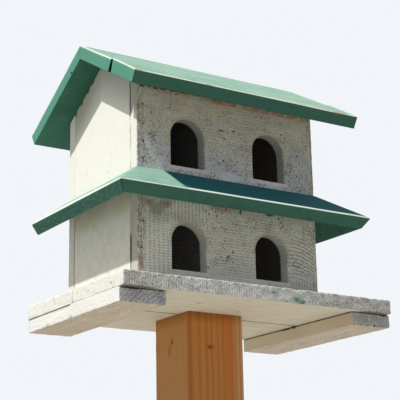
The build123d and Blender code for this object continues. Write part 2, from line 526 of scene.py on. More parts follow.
def greenFinish(name, turn, endWay, shelter, knots=(), peeled=()):
    # Paint that is deep under the boards, chalky and streaked where the sun reaches it, with painted shade
    # where the roof's shadow falls on the front skirt's top
    look = {"paint": (0.044, 0.152, 0.102), "deep": (0.026, 0.108, 0.07), "shadow": (0.018, 0.134, 0.084),
            "ends": (0.078, 0.275, 0.19), "faded": (0.205, 0.395, 0.3), "washed": (0.33, 0.5, 0.395),
            "sheltered": (0.014, 0.128, 0.146), "bare": (0.88, 0.9, 0.78), "crevice": (0.006, 0.012, 0.009),
            "wood": (0.62, 0.34, 0.17), "cream": (0.52, 0.56, 0.44), "bleached": (0.8, 0.79, 0.66),
            "paintedShadeFrom": -117, "shine": 0.5, "chalk": 0.82, "wearWidth": 2.8}
    material, place, grain, x, y, z = startMaterial(name, turn)
    streaks = grain["Streaks"]
    above, below, outerLeft = facing(place, 0, 0, 1), facing(place, 0, 0, -1), facing(place, -1, 0, 0)
    # Painted shade: past x = -117 mm the front skirt's top lies in the roof's shadow and gets a dark teal
    # shade colour instead of the faded paint
    roofShadowZone = ease(x, look["paintedShadeFrom"] - 4, look["paintedShadeFrom"] + 4) * ease(z, 185, 200, shelter, 0)
    sunny = above * (1 - roofShadowZone)
    creamy = ease(noise(place, 7, 3, 0.6, scale=(0.07, 1, 1)), 0.48, 0.62)
    toEdge = attribute(place, "edgeDistance") / mm
    rimmed = ease(toEdge, 3.4, 5.4, 0.95, 0) * ease(x, 130, 195, 1, 0.5)
    patches = ease(noise(place, 35, 3, 0.55), 0.45, 0.7)
    top = tint(ease(streaks, 0.2, 0.9), look["faded"], look["washed"])
    flecks = ease(noise(place, 4, 3, 0.65), 0.54, 0.6)
    blotches = ease(noise(place, 22, 4, 0.65), 0.45, 0.62)
    flaky = noise(place, 7, 4, 0.65, scale=(1, 0.2, 1))
    flaky = flaky + ease(x, -215, -180, 0.28, -0.1) + ease(y, -150, -50, -0.28, 0)
    bleached = sunny * ease(flaky, 0.53, 0.6, 0, 0.85) * fade(z, 195, 205) * fade(x, -170, -160)
    wear = edgeWear(place, width=look["wearWidth"])["Wear"]
    lifted = ease(facing(place, 0, 0, 1, result="Along"), -0.1, 0.35)
    # The last coat is painted shade in the joints between boards
    colour = layered(
        look, "paint",
        (streaks, 0.5, "deep"), (ease(z, 200, 230, 0.1, 0), "ends"),
        (outerLeft, ease(y, -120, -10, 0.3, 1), "shadow"), (outerLeft, flecks, 0.4, "faded"),
        (below, blotches, 0.65, "deep"), (below, ease(y, 70, 140, 0, 0.35), "ends"),
        (facing(place, *endWay, result="Either"), "ends"),
        (above, roofShadowZone, "sheltered"), (above, roofShadowZone, rimmed, "bare"),
        (sunny, top), (patches, sunny, 0.3, "ends"), (creamy, sunny, 0.45, ease(z, 195, 215), "cream"),
        (bleached, "bleached"), (wear, lifted, "bare"), (attribute(place, "crevice"), "crevice"))
    for marks, coat in ((knots, "crevice"), (peeled, "wood")):
        if marks:
            colour = layered(look, colour, (spots(place, marks, 1.2), coat))
    rough = above * (look["chalk"] - look["shine"]) + look["shine"]
    return finishSurface(material, colour, rough, 0.22, grain["Height"], 0.35)


def gableFinish(name):
    # Smooth white paint on planed panels: faint upright streaks, dirt under the skirt, a dark joint
    # in front, painted shade along the roof line and near-black spots under the back rake
    look = {"paint": (0.885, 0.865, 0.77), "streak": (0.74, 0.71, 0.6), "stain": (0.58, 0.5, 0.3),
            "film": (0.42, 0.44, 0.385), "warmFilm": (0.46, 0.37, 0.25), "dirt": (0.06, 0.055, 0.04),
            "warm": (0.62, 0.5, 0.33), "joint": (0.13, 0.075, 0.045), "backJoint": (0.36, 0.25, 0.14),
            "rustJoint": (0.42, 0.3, 0.2), "bare": (0.3, 0.24, 0.18)}
    # Near-black spots along the gable's top edge, under the back rake
    underRake = ((-160, 24, 341, 6, 7, 4), (-160, 42, 331, 6, 8, 4), (-160, 60, 320, 6, 7, 5),
                 (-160, 78, 309, 6, 6, 7))
    warmSpots = ((-160, 42, 206, 8, 3, 5), (-160, -30, 215, 8, 2, 8), (-160, -22, 190, 8, 2, 4),
                 (-160, 20, 120, 8, 4, 6), (-160, -40, 98, 8, 2, 3), (-160, 60, 70, 8, 2, 5))
    material, place, grain, x, y, z = startMaterial(name, alongZ)
    stained = ease(z, 108, 138) * fade(z, 150, 165) * ease(noise(place, 22, 4, 0.6), 0.25, 0.6, 0.35, 1)
    roofLine = calc("ABSOLUTE", y - ridgeY / mm) * -roofSlope + (ridgeUnder - platformUnder) / mm
    # Painted shade: darker within 60 mm under the roof line, where the overhang shades the gable, and
    # warmer towards the back
    sheltered = ease(roofLine - z, 15, 60, 0.62, 0)
    broken = ease(noise(place, 5, 3, 0.6, scale=(1, 1, 0.12)), 0.4, 0.52)
    swayed = noise(place, 14, 2, scale=(1, 0.1, 1)) * 4 + y
    strong = most(ease(z, 250, 262), fade(z, 84, 92))
    front = fade(swayed, -83.6, -82)
    backJoint = ease(swayed, 77, 79) * ease(z, 138, 150, 0.8, 0.05)
    clouded = ease(noise(place, 20, 4, 0.65), 0.44, 0.62) * ease(z, 100, 165, 0.22, 0.06)
    colour = layered(
        look, "paint",
        (grain["Streaks"], 0.1, "streak"), (sheltered, "film"), (stained, 0.6, "stain"), (clouded, "stain"),
        (spots(place, warmSpots), 0.35, "warm"), (sheltered, ease(y, 5, 60), 0.4, "warmFilm"),
        (front, broken, 0.7, "rustJoint"), (front, strong, "joint"), (backJoint, "backJoint"),
        (spots(place, underRake, 2.5), 0.85, "dirt"), (attribute(place, "innerFace"), "bare"))
    return finishSurface(material, colour, 0.62, 0.35, grain["Height"], 0.25)


def boardFinish(name, turn, sides, marks):
    # Platform boards and cleats. sides gives the colour of each kind of face.
    look = {"speck": (0.13, 0.128, 0.125), "chalk": (0.93, 0.92, 0.88), "moss": (0.06, 0.15, 0.09),
            "knot": (0.4, 0.34, 0.27), "pink": (0.82, 0.72, 0.6), "crack": (0.36, 0.32, 0.28),
            "inner": (0.76, 0.69, 0.5), "innerFront": (0.66, 0.5, 0.37), "warm": (0.66, 0.53, 0.4),
            "algae": (0.42, 0.54, 0.46), "frontWarm": (0.52, 0.5, 0.445), "gap": (0.02, 0.017, 0.014),
            "sawDark": (0.3, 0.3, 0.28), "stained": (0.7, 0.69, 0.6), "sawSpacing": 3.9} | sides
    material, place, grain, x, y, z = startMaterial(name, turn)
    wide, deep, high = look["speckSize"]
    combed = ease(x, -100, 0, high * look["combed"], high)
    specks = sawnSpecks(place, size=joined(wide, deep, combed), gather=look["gather"])
    chalky = ease(noise(place, 8, 3, 0.6, scale=(1, 1, 1.5)), 0.52, 0.64)
    sawn = sawMarks(mapped(place, turn=alongZ), spacing=look["sawSpacing"])
    patches = ease(noise(place, 26, 3, 0.6), 0.38, 0.62)
    below = facing(place, 0, 0, -1)
    front = facing(place, 0, 1, 0, result="Either")
    ends = facing(place, 1, 0, 0, result="Either")
    rough = most(front, below * look["roughBelow"], facing(place, 0, 0, 1) * 0.5)
    rings = growthRings(mapped(place, turn=turn), pith=look["pith"],
                     spacing=look["ringSpacing"], wobble=3)
    cut = rings["Rings"] * attribute(place, "endGrain") * ease(x, -100, 100, 1, 0.35)
    toMiddle = calc("ABSOLUTE", x + 30)
    bareSide = facing(place, -1, 0, 0) * ease(x, 100, 110) * look["bareSide"]
    colour = layered(
        look, "top",
        (ends, "end"), (front, "front"), (below, "below"),
        (front, ease(x, 0, 160), "warmed", "frontWarm"), (patches, front, 0.25, "frontDark"),
        (front, ease(toMiddle, 40, 220), "dull", "frontDark"),
        (chalky, front, "chalked", "chalk"), (sawn["Ridges"], front, "sawn", "chalk"),
        (sawn["Marks"], front, "sawn", "sawDark"), (chalky, ends, "endStained", "stained"),
        (cut, "ringed", "frontDark"), (grain["Streaks"], "streaky", "streak"),
        (specks["Dark"], rough, "specked", "speck"), (specks["Pale"], rough, "specked", "chalk"),
        (specks["Dark"], ends, "endSpecks", "frontDark"),
        (bareSide, "inner"), (bareSide, ease(y, -60, -140), 0.7, "innerFront"),
        (patches, below, "mottled", "warm"), (grain["Streaks"], below, "mottled", "crack"))
    for kind, places in marks.items():
        mask = spots(place, places, 2 if kind in ("moss", "algae") else 0.8)
        colour = layered(look, colour, (mask, "markAmount", kind))
    # Painted shade, near black, in the seams and gaps between boards, with a painted dark line along the
    # seam underneath; none at the left end, where paint fills the seam
    filled = fade(x, -208, -203) * fade(y, -14.5, -12)
    toSeam = calc("ABSOLUTE", y - seamY / mm)
    seam = below * ease(toSeam, 0.9, 2.1, look["seam"], 0)
    colour = layered(look, colour, (most(attribute(place, "crevice") * (1 - filled), seam), "gap"))
    return finishSurface(material, colour, 0.8, 0.25, grain["Height"] - specks["Height"], 0.6)


def roughFinish(name, marks=None):
    # Thin paint on sawn boards. marks, for the front wall, colours what lies under the eave, the
    # skirt and round the entrances.
    look = {"paint": (0.71, 0.68, 0.54), "warm": (0.74, 0.67, 0.51), "cool": (0.61, 0.63, 0.57),
            "speck": (0.12, 0.105, 0.085), "chalk": (0.88, 0.86, 0.76), "ends": (0.885, 0.865, 0.77),
            "endsPaintedShade": (0.5, 0.495, 0.425), "endsLine": (0.36, 0.32, 0.25), "bare": (0.55, 0.5, 0.44),
            "joint": (0.12, 0.08, 0.05), "reveal": (0.82, 0.83, 0.76), "revealUpper": (0.46, 0.47, 0.43),
            "low": (0.9, 0.88, 0.78)}
    material, place, grain, x, y, z = startMaterial(name)
    specks = sawnSpecks(place, size=(3.4, 3, 1.9), gather=0.6)
    fine = sawnSpecks(place, size=(2.2, 3, 1.5), gather=0.3)
    patches = ease(noise(place, 24, 3, 0.6), 0.36, 0.64)
    shades = ease(noise(place, 45, shift=(70, 0, 40)), 0.45, 0.62)
    colour = layered(
        look, "paint",
        # low: the lower storey paler below 165 mm, painted light from the sunlit platform
        (patches, "warm"), (shades, 0.4, "cool"), (ease(z, 110, 165, 0.85, 0), "low"),
        (grain["Streaks"], 0.16, "speck"),
        (ease(specks["Height"], 0.6, 0.69), 0.8 if marks else 0.4, "speck"), (fine["Dark"], 0.42, "speck"),
        (fade(specks["Height"], 0.3, 0.42), 0.5, "chalk"))
    height = grain["Height"] - specks["Height"]
    upper = ease(z, 150, 160)
    if marks:
        colour, cut = marks(place, colour)
        height = height - cut * 0.5
        # Painted shade on the walls' end strips: darker above 250 mm, under the roof, and below 160 mm,
        # under the skirt
        endsShaded = most(ease(z, 250, 262), ease(z, 120, 160, 0.75, 0))
        ends = tint(endsShaded, look["ends"], look["endsPaintedShade"])
        jointDark = ease(z, 45, 55) * fade(z, 80, 90) * 0.8
    else:
        rows = sawMarks(place, spacing=4.6)
        colour = layered(look, colour, (rows["Marks"], patches, 0.35, "speck"))
        ends, jointDark = "ends", 0
    atEnd = attribute(place, "endGrain")
    lined = ease(noise(place, 2.2, 2, 0.6, scale=(1, 1, 0.06)), 0.48, 0.6) * ease(z, 110, 150, 1, 0.3)
    colour = layered(
        look, colour,
        (attribute(place, "reveal"), 0.7, tint(upper, look["reveal"], look["revealUpper"])),
        (atEnd, ends), (atEnd, lined, 0.25, "endsLine"), (atEnd, ease(y, -90.2, -89), jointDark, "joint"),
        (attribute(place, "innerFace"), "bare"))
    return finishSurface(material, colour, 0.85, 0.25, height, 0.7)


def frontMarks(place, colour):
    # Marks on the front wall, each (x, height, reach in x, reach in height)
    look = {"cut": (0.15, 0.135, 0.105), "ridge": (0.9, 0.88, 0.8), "rust": (0.42, 0.22, 0.1),
            "eave": (0.58, 0.23, 0.1), "algae": (0.47, 0.43, 0.26), "ledge": (0.84, 0.81, 0.77),
            "shade": (0.67, 0.8, 0.83), "nail": (0.06, 0.045, 0.035), "moss": (0.2, 0.26, 0.11),
            "drip": (0.03, 0.085, 0.05), "edge": (0.17, 0.12, 0.08), "pale": (0.97, 0.955, 0.86),
            "corner": (0.5, 0.22, 0.09), "dim": (0.46, 0.48, 0.48), "slate": (0.57, 0.61, 0.71),
            "blush": (0.96, 0.8, 0.62), "pit": (0.15, 0.14, 0.13), "smear": (0.82, 0.83, 0.82),
            "tan": (0.5, 0.46, 0.33)}
    lists = {
        "nail": ((-151, 267, 2, 2), (-151, 239, 2, 2), (-151, 214, 2, 3), (-151, 190, 2, 2),
                 (-151, 102, 2, 2.4), (-22.8, 250.4, 5, 1.6), (-2.1, 252.4, 3.5, 1.5), (-20.7, 206, 2, 2),
                 (110, 233, 2, 2),
                 (82, 262, 2.5, 1.5), (-16.9, 67.5, 2.6, 2.4), (-8.4, 75.5, 2, 2), (6.2, 135, 2, 5),
                 (72, 133, 1.6, 3), (75.5, 127.5, 2.6, 1.6), (79.5, 123, 1.6, 2.6), (75.8, 119.6, 2, 1.5),
                 (-51.6, 128.6, 1.8, 1.6), (-46.7, 125, 1.8, 1.8), (-41.6, 132.8, 1.6, 1.8),
                 (-35.9, 129.3, 2, 1.6), (-33.6, 123.8, 1.6, 2), (-25.1, 129.2, 2, 1.6),
                 (-18.3, 134.5, 1.6, 2.4), (-154, 65.7, 1.6, 2.6)),
        "rust": ((136, 255, 3, 30), (136, 205, 2.5, 25), (131, 104, 2, 4), (130, 94, 2, 3),
                 (130, 82, 2, 5), (116, 122, 1.8, 14), (124, 128, 1.8, 10), (134, 114, 2, 20),
                 (131, 42, 2.5, 16), (120, 30, 1.8, 8), (-155, 50, 5, 14), (-148, 132, 7, 5),
                 (132, 280, 5, 8), (-25, 135, 26, 5), (-112, 132, 9, 5)),
        "moss": ((-131, 121, 13, 11), (-141, 128, 8, 7), (-118, 129, 12, 6)),
        "drip": ((56, 138, 9, 4), (-152, 295, 5, 3.2), (-141, 295.5, 4, 2.6), (-131, 295, 5, 3),
                 (-118, 295.5, 7, 2.6), (-104, 295.5, 6, 2.4), (-88, 296, 9, 2.2), (-62, 296, 7, 2),
                 (-30, 296, 9, 2)),
        "tan": ((-82, 114, 30, 12), (-126, 112, 20, 12)),
        "corner": ((137.5, 258, 2.5, 26), (137.5, 222, 2, 9), (137, 190, 2, 7)),
        # pale: paler patches, painted light on the lower storey from the grazing sun at the left and from
        # the platform at the foot
        "pale": ((-138, 45, 24, 60), (-118, 62, 40, 66), (0, 30, 60, 14), (-75, 128, 44, 18)),
        # Pale patches, mostly down the upper storey's left edge, painted sunlight from the grazing sun
        "smear": ((-143, 214, 6, 12), (-135, 202, 8, 12), (-125, 190, 9, 9), (-132, 178, 22, 7),
                  (-10, 182, 22, 8)),
    }
    amounts = {"nail": 0.85, "rust": 0.4, "moss": 0.55, "drip": 0.9, "pale": 0.8, "corner": 0.6,
               "smear": 0.5, "tan": 0.4}
    saws = (  # patch (x, height, reach, reach), shift along its rows, turn, spacing, bend, strength
        ((112, 78, 38, 40), -94, 0, 5.5, 0.0075, 1), ((-126, 72, 50, 66), 0, 0, 3.8, 0, 0.65),
        ((114, 34, 34, 20), 0, 90, 5, 0, 0.7), ((114, 30, 34, 18), 0, 0, 3.9, 0, 0.5),
        ((-134, 55, 40, 80), 0, 90, 7, 0, 0.62), ((-84, 128, 50, 28), 0, 90, 5.6, 0, 0.75),
        ((-6, 66, 40, 70), 0, 0, 4.1, 0, 0.65), ((60, 80, 40, 70), 0, 0, 4.1, 0, 0.5),
        ((-128, 205, 34, 40), 0, 30, 5, 0, 0.25), ((114, 200, 30, 52), 0, 90, 5.4, 0, 0.3),
        ((0, 235, 130, 70), 0, 0, 4.6, 0, 0.22))
    front = houseFront / mm
    x, y, z = split(place)
    cut, ridges = [], []
    for patch, shift, turn, spacing, bend, strength in saws:
        rows = mapped(place, shift=(shift, 0, 0), turn=(0, math.radians(turn), 0))
        saw = sawMarks(rows, spacing=spacing, bend=bend)
        area = spots(place, ((patch[0], front, patch[1], patch[2], 60, patch[3]),), 1.6) * strength
        cut.append(saw["Marks"] * area)
        ridges.append(saw["Ridges"] * area)
    cut, ridges = most(*cut), most(*ridges)
    cool = most(fade(z, 25, 75), fade(z, 172, 206) * ease(z, 150, 160))
    eave = ease(z, 287.8, 291.6) * ease(x, -145, -95, 0.3, 1) * ease(noise(place, 8, 3, 0.65), 0.42, 0.52)
    dashes = noise(place, 1, 2, 0.6, scale=(0.5, 0.5, 0.14))
    edge = fade(x, -153, -148) * ease(dashes, 0.48, 0.56)
    lowEdge = fade(x, -160, -145) * ease(dashes, 0.44, 0.52) * fade(z, 136, 150)
    dim = spots(place, ((114, front, 200, 36, 40, 60),), 1.2)
    slate = fade(z, 190, 265) * ease(z, 158, 166)
    clouds = ease(noise(place, 22, 3, 0.6), 0.4, 0.62, 0.2, 0.65)
    pits = sawnSpecks(place, size=(2.5, 3, 3.6), gather=0.45)["Dark"]
    colour = layered(
        look, colour,
        (cool, 0.5, "shade"), (slate, clouds, "slate"), (ease(z, 258, 286, 0, 0.35), "blush"),
        (dim, 0.5, "dim"), (pits, slate, ease(x, -20, 120, 0.65, 0.95), "pit"))

    def marked(kind, colour):
        placed = [(mark[0], front, mark[1], mark[2], 40, mark[3]) for mark in lists[kind]]
        return layered(look, colour, (spots(place, placed), amounts[kind], kind))

    for kind in ("pale", "smear", "tan", "moss"):
        colour = marked(kind, colour)
    for storey, sill in sills.items():
        spring = sill + entrance["height"][storey] - entrance["half"]
        marks = entranceMarks(place, spring=(spring - platformUnder) / mm,
                         sill=(sill - platformUnder) / mm)
        colour = layered(look, colour, (marks["Rim"], 0.5, "algae"), (marks["Ledge"], 0.6, "ledge"))
    colour = layered(look, colour, (ridges, 0.5, "ridge"), (cut, 0.7, "cut"), (eave, 0.75, "eave"),
                     (lowEdge, 0.5, "rust"), (edge, 0.5, "edge"))
    for kind in ("rust", "drip", "corner", "nail"):
        colour = marked(kind, colour)
    return colour, cut


def postFinish(name):
    # Planed softwood: upright growth lines, redder on one band of the front, with a few small knots
    look = {"early": (0.6, 0.245, 0.058), "late": (0.42, 0.12, 0.018), "side": (0.57, 0.31, 0.095),
            "pale": (0.68, 0.42, 0.2), "ember": (0.58, 0.18, 0.03), "knot": (0.21, 0.075, 0.02),
            "spacing": 4.2, "shine": 0.6}
    knots = ((-46, -1, -37, 9, 2.6, 4), (-46, 6, -49, 9, 1.8, 5.5), (-46, 41.5, -41, 9, 2, 4),
             (-10.7, -46, -48, 4.8, 9, 2.8))
    material, place, grain, x, y, z = startMaterial(name)
    rings = growthRings(mapped(place, turn=alongZ), pith=(0, 130, 95),
                     spacing=look["spacing"], wobble=5)
    band = ease(x, 5, 16) * fade(x, 22, 36)
    around = spots(place, [mark[:3] + tuple(2.2 * reach for reach in mark[3:]) for mark in knots])
    corner = fade(x, -46, -36) * fade(y, -46, -38)
    colour = layered(
        look, "early",
        (facing(place, -1, 0, 0), 0.75, "side"), (ease(x, 24, 40), facing(place, 0, -1, 0), 0.8, "pale"),
        (rings["Rings"], 0.55, "late"), (ease(rings["Fibre"], 0.4, 0.7, 0, 0.35), "late"),
        (band, 0.6, "ember"), (corner, 0.8, "late"), (around, 0.45, "late"),
        (spots(place, knots), "knot"))
    return finishSurface(material, colour, look["shine"], 0.25, rings["Fibre"], 0.2)


def innerFinish(name):
    # Bare boards inside the rooms, darker upstairs, with a painted bluish shade to the right
    look = {"wood": (0.68, 0.66, 0.66), "line": (0.36, 0.34, 0.33), "upper": (0.3, 0.28, 0.29),
            "bluish": (0.72, 0.96, 1)}
    material, place, grain, x, y, z = startMaterial(name)
    colour = layered(look, "wood", (grain["Streaks"], "line"), (ease(x, -8, -4), "bluish"),
                     (ease(z, 155, 165, 0, 0.8), "upper"))
    return finishSurface(material, colour, 0.85, 0.25, grain["Height"], 0.3)


# What the faces of a board look like. The numbers say how much there is of each effect.
platformSides = {
    # The top is darker than the end and front: painted shade that keeps the sunlit top from going white
    "top": (0.62, 0.6, 0.55), "end": (0.87, 0.85, 0.78), "front": (0.97, 0.97, 0.92),
    "frontDark": (0.5, 0.5, 0.47), "below": (0.95, 0.885, 0.7), "streak": (0.68, 0.59, 0.43),
    "streaky": 0.24, "roughBelow": 0, "speckSize": (1.6, 1.6, 1.3), "specked": 0.75, "gather": 0.25,
    "combed": 2.4, "chalked": 0.4, "sawn": 0.55, "warmed": 0, "mottled": 0.14, "endStained": 0.5,
    "pith": (0, -30, 60), "ringSpacing": 4, "ringed": 0.1, "dull": 0.9, "markAmount": 0.7, "seam": 0.9,
    "bareSide": 0, "endSpecks": 0.12}
cleatSides = {
    "top": (0.6, 0.58, 0.52), "end": (0.91, 0.9, 0.845), "front": (0.6, 0.61, 0.62),
    "frontDark": (0.2, 0.21, 0.24), "below": (0.92, 0.79, 0.585), "streak": (0.52, 0.43, 0.31),
    "streaky": 0.28, "roughBelow": 0.6, "speckSize": (1.8, 6, 1.8), "specked": 0.55, "gather": 0.3,
    "combed": 1, "chalked": 0, "sawn": 0, "warmed": 0.8, "mottled": 0.28, "endStained": 0,
    "pith": (0, -49, -163), "ringSpacing": 5.2, "ringed": 0.7, "dull": 0, "markAmount": 0.95, "seam": 0,
    "bareSide": 0.85, "endSpecks": 0.06}
# Marks by kind, each (x, y, height, reach in x, y and height)
# The gap marks are painted shade where the cleats meet the platform, and in a dent
cleatMarks = {
    "gap": ((161.5, -12, -0.6, 4, 8, 3), (161.5, 7, -0.8, 4, 17, 2.8), (161.5, -71, 0, 9, 5, 2.4),
            (218, -149.4, 0, 8, 9, 4.4), (-196, -149.4, 0.5, 26, 9, 4.2),
            (202, -149.4, -17.5, 1.6, 9, 1.6))}
platformMarks = {
    # painted shade along the platform's lower front edge where it meets the cleats
    "gap": ((-190, -153.5, -0.3, 40, 6, 2.2), (199, -153.5, -0.3, 34, 6, 1.9), (160.5, -11, 0, 2.5, 6, 2)),
    "algae": ((62, -157, 5, 15, 9, 7), (22, -157, 12, 10, 9, 4)),
    "moss": ((59, -157, 5.5, 6, 9, 3.6), (68, -157, 2.5, 8, 9, 2.8), (22, -157, 12, 6, 9, 2)),
    "pink": ((-211, 77, 18, 9, 5, 4), (-211, -4, 16, 9, 5, 3), (-211, -30, 12, 9, 3, 3),
             (-211, 20, 9, 9, 6, 4)),
    "crack": ((-211, 42, 17, 9, 1.2, 4), (-211, 37, 11, 9, 1.2, 5), (-211, -17, 2.4, 9, 1.5, 3)),
    "knot": ((-211, -62, 9, 9, 2.4, 2.2), (-211, -79, 4.5, 9, 2, 1.8), (-211, -73, 17, 9, 2.4, 1.8),
             (-211, -50, 15, 9, 2, 1.6), (-211, -125, 8, 9, 3, 2.4), (-211, -130, 2, 9, 2.5, 1.8),
             (-62, -98, 0, 5, 4, 9), (20, -70, 0, 4, 3, 9), (122, -157, 2.6, 3, 9, 2))}
greenKnots = ((-197.5, 46, 310, 9, 4, 4), (-197.5, 21, 346.5, 9, 3, 2.5))
greenPeeled = ((-191, -164, 290, 11, 4, 3), (-80, -164, 290, 9, 3, 2), (146, -164, 290, 18, 4, 3))
greenAlongX = greenFinish("green_along_x", alongX, (1, 0, 0), 1, greenKnots, greenPeeled)
greenAlongY = greenFinish("green_along_y", alongY, (0, 1, 0), 0)
gablePaint = gableFinish("gable_paint")
platformPaint = boardFinish("platform_paint", alongX, platformSides, platformMarks)
cleatPaint = boardFinish("cleat_paint", alongY, cleatSides, cleatMarks)
frontPaint = roughFinish("front_wall_paint", frontMarks)
backPaint = roughFinish("back_wall_paint")
postWood = postFinish("post_wood")
innerWood = innerFinish("inner_wood")
for node in ("middle_floor", "partition_lower", "partition_upper"):
    nodes[node].data.materials.clear()
    nodes[node].data.materials.append(innerWood)
print("finishes ready")


# Pieces

def buildPost():
    look = {"layers": [((30, 30, 90), 0.5)], "seed": 3, "chipping": 0.0, "chipReach": 2 * mm,
            "cornerRadius": 4 * mm, "endRadius": 0.3 * mm, "step": 6 * mm}
    low, high, size = boxOf("post", 2, 0, 1)
    corner = look["cornerRadius"]
    across = rule([0, size[1]], [look["step"]], bendLines(corner), bendLines(corner))
    lines = [rule([0, size[0]], [3 * look["step"]]), across, across]
    makeBoard("post", size, lines, corner, look["endRadius"],
              lambda a, b, c: (low.x + b, low.y + c, low.z + a), look, postWood)


def buildPlatform():
    look = {"layers": [((6, 6, 3), 0.35), ((2.2, 2.2, 1.6), 0.25)], "seed": 11, "chipping": 2.0,
            "chipReach": 3 * mm, "edgeRadius": 1.5 * mm, "seamRadius": 0.6 * mm, "seamFill": 0.8 * mm,
            "step": 3 * mm, "fineStep": 1.3 * mm, "thinStep": 1.5 * mm, "lift": 0.5,
            "dents": ((-211, -17, 1830.5, 2.2, 1.6), (122, -157, 1830.5, 2.5, 1.2),
                      (-150, -157, 1849, 4, 0.8), (60, -157, 1849, 6, 0.8), (190, -157, 1849, 5, 1.0))}
    radius, seamRadius = look["edgeRadius"], look["seamRadius"]
    for node in ("platform_board_front", "platform_board_back"):
        low, high, size = boxOf(node, 0, 1, 2)
        size[1] += look["seamFill"]
        seam = 1 if node.endswith("front") else 0
        startY = low.y if seam else low.y - look["seamFill"]
        near = np.append(bendLines(radius, seamRadius), 3 * mm)
        lines = [rule([0, size[0]], [look["fineStep"] if seam else look["step"]], near, near),
                 rule([0, 6 * mm, size[1]], [look["thinStep"], 7 * mm], near, near),
                 rule([0, size[2]], [look["thinStep"]], near, near)]
        radii = [[radius] * 2, [radius] * 2]
        radii[seam] = [seamRadius] * 2
        makeBoard(node, size, lines, radii, radius, lambda a, b, c: (low.x + a, startY + b, low.z + c),
                  look, platformPaint, hidden={(1, seam): 1.0})


def buildCleats():
    look = {"layers": [((5, 9, 4), 0.35), ((2.2, 3, 2.2), 0.2)], "seed": 23, "chipping": 1.5,
            "chipReach": 3 * mm, "outerRadius": 1.2 * mm, "roundRadius": 4.5 * mm, "gapReach": 2.3 * mm,
            "step": 3 * mm, "thinStep": 1.6 * mm,
            "dents": ((-212.5, 56, 1809, 3, 2.2), (-212.5, -14, 1809, 3.5, 2.2),
                      (202, -149.4, 1811.5, 2.2, 1.5))}
    small, large = look["outerRadius"], look["roundRadius"]
    for node in ("cleat_left", "cleat_right"):
        low, high, size = boxOf(node, 1, 0, 2)
        nearEnds, both = (0.4 * mm, 0.8 * mm), bendLines(small, large)
        lines = [rule([0, size[0]], [look["step"]], nearEnds, nearEnds),
                 rule([0, size[1]], [look["step"]], bendLines(small), both),
                 rule([0, size[2]], [look["thinStep"]], both, both)]
        makeBoard(node, size, lines, [[small, small], [large, large]], small,
                  lambda a, b, c: (low.x + b, low.y + a, low.z + c), look, cleatPaint,
                  hidden={(2, 1): 1.0})


def buildGables():
    look = {"layers": [((20, 12, 60), 0.2)], "seed": 31, "chipping": 0.5, "chipReach": 2 * mm,
            "step": 4 * mm, "edgeRadius": 0.6 * mm}
    for node, innerSide in (("gable_end_left", 1), ("gable_end_right", -1)):
        low, high, size = boxOf(node, 1, 2, 0)
        near = bendLines(look["edgeRadius"])
        lines = [rule([0, *stop, length], [look["step"]] * 2, near, near)
                 for length, stop in zip(size, ([ridgeY - low.y], [], []))]

        def place(a, b, c):
            # Height goes from the foot to the roof line over each place across the house
            y = low.y + a
            return low.x + c, y, low.z + b / size[1] * (roofUnder(y) - low.z)

        makeBoard(node, size, lines, look["edgeRadius"], look["edgeRadius"], place, look, gablePaint,
                  innerAt=(0, high.x if innerSide > 0 else low.x))


def buildBackWalls():
    look = {"layers": [((7, 5, 4), 0.25)], "seed": 43, "chipping": 1.0, "chipReach": 3 * mm,
            "step": 3 * mm, "edgeRadius": 1.2 * mm}
    for node in ("wall_back_lower", "wall_back_upper"):
        low, high, size = boxOf(node, 0, 2, 1)
        near = bendLines(look["edgeRadius"])
        lines = [rule([0, length], [look["step"]], near, near) for length in size]

        def place(a, b, c):
            # The upper board's top follows the roof
            y = low.y + c
            top = roofUnder(y) if node.endswith("upper") else high.z
            return low.x + a, y, low.z + b / size[1] * (top - low.z)

        makeBoard(node, size, lines, look["edgeRadius"], look["edgeRadius"], place, look, backPaint,
                  innerAt=(1, low.y))


def entranceLoop(counts, straight):
    # Entrance outline from the sill's left corner: sill, right side to the arch's 45 degree point,
    # the arch to 135 degrees, left side. Returns points (x, z) and the ways out from the hole.
    half = entrance["half"]
    eighth = half * math.pi / 4

    def side(distance):
        angle = np.clip(distance - straight, 0, None) / half
        x = np.where(distance < straight, half, half * np.cos(angle))
        z = np.where(distance < straight, distance, straight + half * np.sin(angle))
        return x, z, np.where(distance < straight, 1.0, np.cos(angle)), np.sin(angle)

    sill = np.linspace(-half, half, counts[0], endpoint=False)
    flat = np.zeros(counts[0])
    down = np.where(np.arange(counts[0]) == 0, -1.0, 0.0)
    rightX, rightZ, outX, outZ = side(np.linspace(0, straight + eighth, counts[1], endpoint=False))
    outZ[0] = -1.0
    angle = np.linspace(math.pi / 4, 3 * math.pi / 4, counts[2], endpoint=False)
    leftX, leftZ, outX2, outZ2 = side(np.linspace(straight + eighth, 0, counts[1], endpoint=False))
    x = np.concatenate([sill, rightX, half * np.cos(angle), -leftX])
    z = np.concatenate([flat, rightZ, straight + half * np.sin(angle), leftZ])
    wayX = np.concatenate([down, outX, np.cos(angle), -outX2])
    wayZ = np.concatenate([flat - 1, outZ, np.sin(angle), outZ2])
    return x, z, wayX, wayZ


def borderLoop(counts, left, right, foot, top):
    # Cell outline matching entranceLoop: foot, right edge, top, left edge, with even spacing
    across = np.linspace(0, 1, counts[0], endpoint=False)
    up = np.linspace(0, 1, counts[1], endpoint=False)
    over = np.linspace(0, 1, counts[2], endpoint=False)
    x = np.concatenate([left + (right - left) * across, np.full(counts[1], right),
                        right + (left - right) * over, np.full(counts[1], left)])
    z = np.concatenate([np.full(counts[0], foot), foot + (top - foot) * up,
                        np.full(counts[2], top), top + (foot - top) * up])
    return x, z


